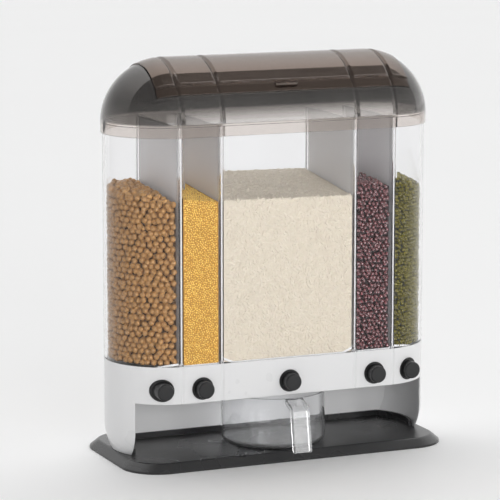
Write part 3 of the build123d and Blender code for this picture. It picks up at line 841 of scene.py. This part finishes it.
adzuki_size = 0.0052
adzuki_pitch = adzuki_size * 0.88
adzuki_margin = adzuki_size * bean_margin
adzuki_finish = grain_finish(
    "red_bean_skin",
    dark=(0.085, 0.018, 0.022, 1.0),
    pale=(0.20, 0.044, 0.050, 1.0),
    roughness=0.24,
    blotch_scale=500.0,
    polish=1.0,
)
# Painted shade: the red bean core is near black and stands for the shade in the gaps between beans.
adzuki_gap_shade = grain_finish(
    "red_bean_gap_shade",
    dark=(0.012, 0.004, 0.005, 1.0),
    pale=(0.018, 0.006, 0.007, 1.0),
    roughness=0.7,
    blotch_scale=300.0,
)
adzuki_form = (adzuki_size * 0.80, adzuki_size * 0.86, adzuki_size * 1.06)
red_bean = make_seed("red_bean", faces=(8, 6), size=adzuki_form, nip=0.93, material=adzuki_finish)
sides = bay_sides(2, 3)
reach = inner_reach - adzuki_size * bean_inset - bend_room
adzuki_top = (0.2718, 0.094, -0.03, 0.07)
heap = middle_heap(sides, (-reach, reach), heap_bottom, adzuki_top)
mark_shown(heap, sides, adzuki_margin)
row_x = (sides[0][0] + adzuki_margin, sides[1][0] - adzuki_margin)
row_y = inner_reach - adzuki_size * row_inset - bend_room
walls = [straight_wall(row_x, y, adzuki_pitch) for y in (-row_y, row_y)]
adzuki_rows = stack_rows("red_bean_rows", walls, adzuki_top, adzuki_pitch, stray=adzuki_size * 0.12)
pour("red_bean_heap", heap, red_bean, [loose_beans(adzuki_size)], any_turn, adzuki_gap_shade, adzuki_rows)

mung_size = 0.0043
mung_pitch = mung_size * 0.93
mung_margin = mung_size * bean_margin
mung_finish = grain_finish(
    "green_bean_skin",
    dark=(0.026, 0.022, 0.001, 1.0),
    pale=(0.28, 0.235, 0.004, 1.0),
    roughness=0.26,
    blotch_scale=600.0,
    polish=0.4,
    shine=0.1,
)
# Painted shade: the green bean core is near black and stands for the shade in the gaps between beans.
mung_gap_shade = grain_finish(
    "green_bean_gap_shade",
    dark=(0.012, 0.011, 0.002, 1.0),
    pale=(0.018, 0.016, 0.003, 1.0),
    roughness=0.7,
    blotch_scale=300.0,
)
mung_form = (mung_size * 0.88, mung_size * 0.90, mung_size * 1.06)
green_bean = make_seed("green_bean", faces=(6, 5), size=mung_form, nip=0.93, material=mung_finish)
mung_wall = panels[3][1].x + channel_room
mung_top = (0.2800, 0.118, -0.36, 0.11)
heap = end_heap(end_centre, mung_wall, inner_reach - mung_size * bean_inset, heap_bottom, mung_top)
mark_shown(heap, [(mung_wall, 1.0)], mung_margin)
row_radius = inner_reach - mung_size * row_inset
walls = [round_wall(end_centre, mung_wall + mung_margin, row_radius, mung_pitch)]
mung_rows = stack_rows("green_bean_rows", walls, mung_top, mung_pitch, stray=mung_size * 0.14)
pour("green_bean_heap", heap, green_bean, [loose_beans(mung_size)], any_turn, mung_gap_shade, mung_rows)

bpy.ops.object.select_all(action="DESELECT")
for helper in (soybean, millet, rice, red_bean, green_bean, soy_rows, adzuki_rows, mung_rows):
    helper.select_set(True)
bpy.ops.object.delete()


# Lid, flap and hinge: the smoked cover over the tank's rim, with a flap that turns up on two pins.
# Both are moulded in glossy smoked plastic; their tone changes with height as painted light and shade:
# the pale skirt is a paler band that also paints reflected light, and the darkening towards the top is
# painted shade.
def smoked_finish(name, stops, bend, sheen, edge_round):
    """Glossy smoked plastic whose tone changes with height, from the lowest stop to the highest, which
    paints light and shade by height.
    """
    material, nodes, links, shader = new_material(name)
    place = nodes.new("ShaderNodeTexCoord")
    split = nodes.new("ShaderNodeSeparateXYZ")
    links.new(place.outputs["Object"], split.inputs["Vector"])
    low = stops[0][0]
    span = stops[-1][0] - low
    climb = nodes.new("ShaderNodeMapRange")
    climb.inputs["From Min"].default_value = low
    climb.inputs["From Max"].default_value = low + span
    links.new(split.outputs["Z"], climb.inputs["Value"])
    tone = nodes.new("ShaderNodeValToRGB")
    tone.color_ramp.elements[0].color = stops[0][1]
    tone.color_ramp.elements[1].color = stops[-1][1]
    for height, colour in stops[1:-1]:
        step = tone.color_ramp.elements.new((height - low) / span)
        step.color = colour
    links.new(climb.outputs["Result"], tone.inputs["Fac"])
    links.new(tone.outputs["Color"], shader.inputs["Base Color"])
    shader.inputs["Transmission Weight"].default_value = 1.0
    shader.inputs["Roughness"].default_value = 0.03
    shader.inputs["IOR"].default_value = bend
    shader.inputs["Specular Tint"].default_value = sheen
    add_skin(nodes, links, shader, clear_ripple, {
        "Ripple Scale": 16.0,
        "Ripple Height": 0.05,
        "Edge Round": edge_round,
    })
    let_light_through(nodes, links, shader, (0.80, 0.78, 0.77, 1.0))
    return material


lid_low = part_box("lid_shell")[0]
flap_low, flap_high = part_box("lid_flap")
skirt_top = lid_low.z + 0.0120
dome_start = skirt_top + 0.0012
mouth_start = flap_low.z - 0.004
# Painted light and shade: the pale skirt also paints reflected light, and the tone darkens up the dome
# to the top as painted shade.
lid_tone_and_shade_stops = [
    (skirt_top, (0.80, 0.74, 0.70, 1.0)),
    (dome_start, (0.28, 0.272, 0.265, 1.0)),
    (mouth_start, (0.16, 0.155, 0.15, 1.0)),
    (flap_high.z, (0.12, 0.11, 0.105, 1.0)),
]
lid_sheen = (1.0, 0.96, 0.93, 1.0)
lid_finish = smoked_finish("smoked_lid", lid_tone_and_shade_stops, bend=1.65, sheen=lid_sheen, edge_round=0.0006)
dress(["lid_shell"], lid_finish)
# Painted shade: the flap's smoked tone darkens towards its top.
flap_tone_and_shade_stops = [
    (flap_low.z, (0.16, 0.145, 0.135, 1.0)),
    (flap_high.z, (0.12, 0.10, 0.09, 1.0)),
]
flap_sheen = (1.0, 0.77, 0.64, 1.0)
flap_finish = smoked_finish("smoked_flap", flap_tone_and_shade_stops, bend=1.84, sheen=flap_sheen, edge_round=0.0010)
dress(["lid_flap"], flap_finish)


# Measuring cup: a clear round cup with a hanging strap handle, which stands in the niche on the tray.
# It is one clear moulding, a little greyer than the tank, with a rounded foot.
cup_finish, nodes, links, shader = new_material("clear_cup")
shader.inputs["Base Color"].default_value = (0.95, 0.952, 0.958, 1.0)
shader.inputs["Transmission Weight"].default_value = 0.96
shader.inputs["Roughness"].default_value = 0.03
shader.inputs["IOR"].default_value = 1.45
add_skin(nodes, links, shader, clear_ripple, {
    "Ripple Scale": 24.0,
    "Ripple Height": 0.08,
    "Edge Round": 0.0004,
})
let_light_through(nodes, links, shader, (0.95, 0.952, 0.955, 1.0))
dress(["measuring_cup"], cup_finish)


# Studio: a pale floor, a soft world, one large light panel, and a long lens to the left of the front.
# The sky behind gives the lid's top its sheen, and a soft strip of it in front shows as the lid's band.
def grey(level):
    """A plain grey."""
    return (level, level, level, 1.0)


bpy.ops.mesh.primitive_plane_add(size=40.0)
floor = bpy.context.object
floor.name = "floor"
floor_finish, nodes, links, shader = new_material("pale_floor")
place = nodes.new("ShaderNodeTexCoord")
mottle = nodes.new("ShaderNodeTexNoise")
mottle.inputs["Scale"].default_value = 2.0
links.new(place.outputs["Object"], mottle.inputs["Vector"])
paper = nodes.new("ShaderNodeMix")
paper.data_type = "RGBA"
paper.inputs["A"].default_value = grey(0.94)
paper.inputs["B"].default_value = grey(0.96)
links.new(mottle.outputs["Fac"], paper.inputs["Factor"])
links.new(paper.outputs["Result"], shader.inputs["Base Color"])
shader.inputs["Roughness"].default_value = 0.6
shader.inputs["Specular IOR Level"].default_value = 0.2
floor.data.materials.append(floor_finish)

world = bpy.data.worlds.new("studio")
world.use_nodes = True
nodes = world.node_tree.nodes
links = world.node_tree.links
place = nodes.new("ShaderNodeTexCoord")
split = nodes.new("ShaderNodeSeparateXYZ")
links.new(place.outputs["Generated"], split.inputs["Vector"])
level_glow = 0.49
overhead_glow = 1.06
back_glows = ((0.33, 0.44), (0.50, 0.55), (0.70, 0.75), (0.90, 0.98))
climb = nodes.new("ShaderNodeValToRGB")
climb.color_ramp.elements[0].color = grey(level_glow)
climb.color_ramp.elements[1].color = grey(overhead_glow)
for height, glow in back_glows:
    step = climb.color_ramp.elements.new(height)
    step.color = grey(glow)
links.new(split.outputs["Z"], climb.inputs["Fac"])


def ease(value, start, end):
    """A soft step from 0 at one value to 1 at another."""
    step = nodes.new("ShaderNodeMapRange")
    step.interpolation_type = "SMOOTHSTEP"
    step.inputs["From Min"].default_value = start
    step.inputs["From Max"].default_value = end
    links.new(value, step.inputs["Value"])
    return step.outputs["Result"]


def sky_mix(factor, first, second):
    """Mixes two sky tones."""
    mix = nodes.new("ShaderNodeMix")
    mix.data_type = "RGBA"
    links.new(factor, mix.inputs["Factor"])
    for socket, tone in (("A", first), ("B", second)):
        if isinstance(tone, tuple):
            mix.inputs[socket].default_value = tone
        else:
            links.new(tone, mix.inputs[socket])
    return mix.outputs["Result"]


strip_spread = (6.0, 0.0, 2.1)
strip_shift = (-2.5, 0.0, 0.0)
front_glow = 0.24
strip_glow = 2.5
strip = nodes.new("ShaderNodeVectorMath")
strip.operation = "MULTIPLY_ADD"
strip.inputs[1].default_value = strip_spread
strip.inputs[2].default_value = strip_shift
links.new(place.outputs["Generated"], strip.inputs[0])
off_strip = nodes.new("ShaderNodeVectorMath")
off_strip.operation = "LENGTH"
links.new(strip.outputs["Vector"], off_strip.inputs[0])
in_strip = ease(off_strip.outputs["Value"], 1.0, 0.0)
front_sky = sky_mix(in_strip, grey(front_glow), grey(strip_glow))
back_way = (0.0, 0.988, -0.156)
sky_seam = 0.01
behind = nodes.new("ShaderNodeVectorMath")
behind.operation = "DOT_PRODUCT"
behind.inputs[1].default_value = back_way
links.new(place.outputs["Generated"], behind.inputs[0])
in_back = ease(behind.outputs["Value"], -sky_seam, sky_seam)
whole_sky = sky_mix(in_back, front_sky, climb.outputs["Color"])
links.new(whole_sky, nodes["Background"].inputs["Color"])
across = nodes.new("ShaderNodeMapRange")
across.inputs["From Min"].default_value = -1.0
across.inputs["From Max"].default_value = 0.6
across.inputs["To Min"].default_value = 1.25
across.inputs["To Max"].default_value = 2.4
links.new(split.outputs["X"], across.inputs["Value"])
links.new(across.outputs["Result"], nodes["Background"].inputs["Strength"])
bpy.context.scene.world = world

key_place = Vector((-0.3, -6.0, 1.2))
key_aim = Vector((0.0, 0.0, 0.2))
bpy.ops.object.light_add(type="AREA", location=key_place)
key_panel = bpy.context.object
key_panel.name = "key_panel"
key_panel.data.shape = "RECTANGLE"
key_panel.data.size = 2.9
key_panel.data.size_y = 2.0
key_panel.data.energy = 106.0
key_panel.visible_glossy = False
key_panel.rotation_euler = (key_place - key_aim).to_track_quat("Z", "Y").to_euler()

camera_bearing = radians(23.29)
camera_tilt = radians(9.52)
camera_reach = 2.7013
camera_aim = Vector((-0.0295, -0.0294, 0.2077))
camera_lens = 194.49
toward_camera = Vector((
    -sin(camera_bearing) * cos(camera_tilt),
    -cos(camera_bearing) * cos(camera_tilt),
    sin(camera_tilt),
))
bpy.ops.object.camera_add(location=camera_aim + toward_camera * camera_reach)
camera = bpy.context.object
camera.rotation_euler = toward_camera.to_track_quat("Z", "Y").to_euler()
camera.data.lens = camera_lens
camera.data.sensor_width = 36.0
bpy.context.scene.camera = camera
bpy.context.scene.view_settings.view_transform = "Standard"
